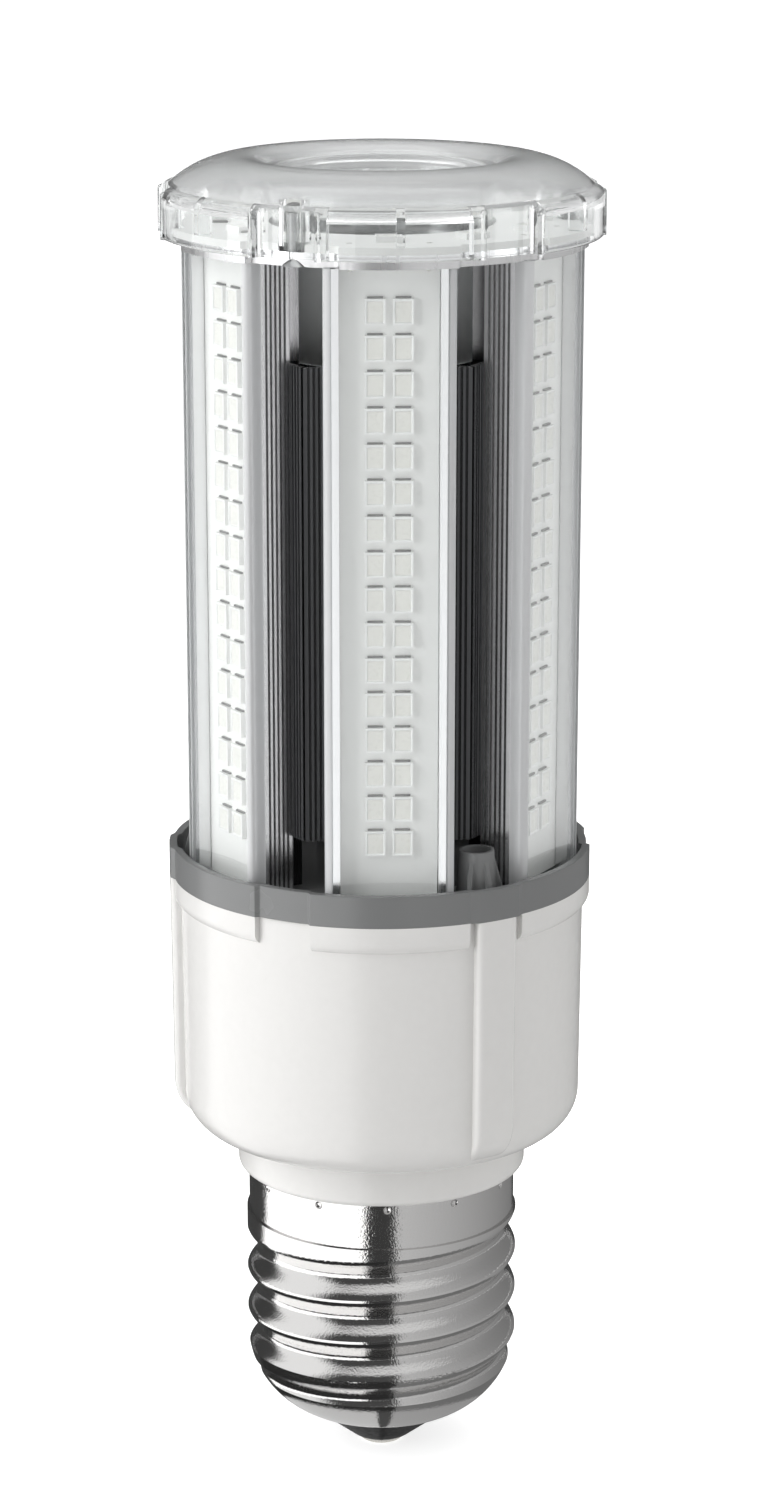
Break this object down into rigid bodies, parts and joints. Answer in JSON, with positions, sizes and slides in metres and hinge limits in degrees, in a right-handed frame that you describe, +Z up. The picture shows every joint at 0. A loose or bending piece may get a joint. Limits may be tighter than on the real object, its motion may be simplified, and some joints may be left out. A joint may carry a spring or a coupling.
{
  "type": "led corn lamp",
  "caption": "LED corn lamp: screw base, white driver housing, ribbed aluminium arms with LED strips behind clear covers, and a clear domed cap with an air well.",
  "frame": {"origin": "centre of the contact's face at the tip of the screw base", "axes": "+Z up the lamp from the contact to the cap; -Y faces the front arm; +X to its right"},
  "size_m": [0.0612, 0.0612, 0.1898],
  "materials": {
    "shell_nickel": "bright nickel plate on rolled brass",
    "insulator_black": "smooth black",
    "contact_metal": "stamped, lightly worn",
    "housing_white": "glossy moulding",
    "ring_grey": "fine spark-eroded texture",
    "screw_steel": "zinc plate",
    "arm_aluminium": "natural extrusion",
    "plate_aluminium": "punched sheet",
    "board_white": "white solder mask",
    "led_package": "white frame, pale phosphor",
    "cover_clear": "clear extruded polycarbonate",
    "cap_clear": "clear moulded polycarbonate",
    "link_wire": "tinned copper",
    "driver_laminate": "glass-fibre laminate",
    "ferrite": "fired ferrite",
    "coil_tape": "wound tape",
    "capacitor_sleeve": "shrunk sleeve",
    "inductor_black": "shrunk sleeve",
    "fuse_green": "lacquer",
    "package_black": "moulded package",
    "sink_aluminium": "cut sheet",
    "lead_insulation": "soft insulation"
  },
  "bodies": {
    "root": {"screw_shell": "shell_nickel", "base_insulator": "insulator_black", "centre_contact": "contact_metal", "driver_housing": "housing_white", "base_ring": "ring_grey", "ring_screws": "screw_steel", "bottom_arm_screws": "screw_steel", "top_plate": "plate_aluminium", "top_arm_screws": "screw_steel", "top_led_board": "board_white", "top_leds": "led_package", "link_wires": "link_wire", "cap_cover": "cap_clear", "cap_screws": "screw_steel", "driver_board": "driver_laminate", "transformer_core": "ferrite", "transformer_coil": "coil_tape", "bulk_capacitors": "capacitor_sleeve", "line_inductor": "inductor_black", "fuse_resistor": "fuse_green", "bridge_rectifier": "package_black", "power_transistor": "package_black", "transistor_heatsink": "sink_aluminium", "contact_lead": "lead_insulation", "shell_lead": "lead_insulation", "heatsink_arm_1": "arm_aluminium", "led_board_1": "board_white", "strip_leds_1": "led_package", "arm_cover_1": "cover_clear", "heatsink_arm_2": "arm_aluminium", "led_board_2": "board_white", "strip_leds_2": "led_package", "arm_cover_2": "cover_clear", "heatsink_arm_3": "arm_aluminium", "led_board_3": "board_white", "strip_leds_3": "led_package", "arm_cover_3": "cover_clear", "heatsink_arm_4": "arm_aluminium", "led_board_4": "board_white", "strip_leds_4": "led_package", "arm_cover_4": "cover_clear", "heatsink_arm_5": "arm_aluminium", "led_board_5": "board_white", "strip_leds_5": "led_package", "arm_cover_5": "cover_clear", "heatsink_arm_6": "arm_aluminium", "led_board_6": "board_white", "strip_leds_6": "led_package", "arm_cover_6": "cover_clear"}
  },
  "joints": []
}
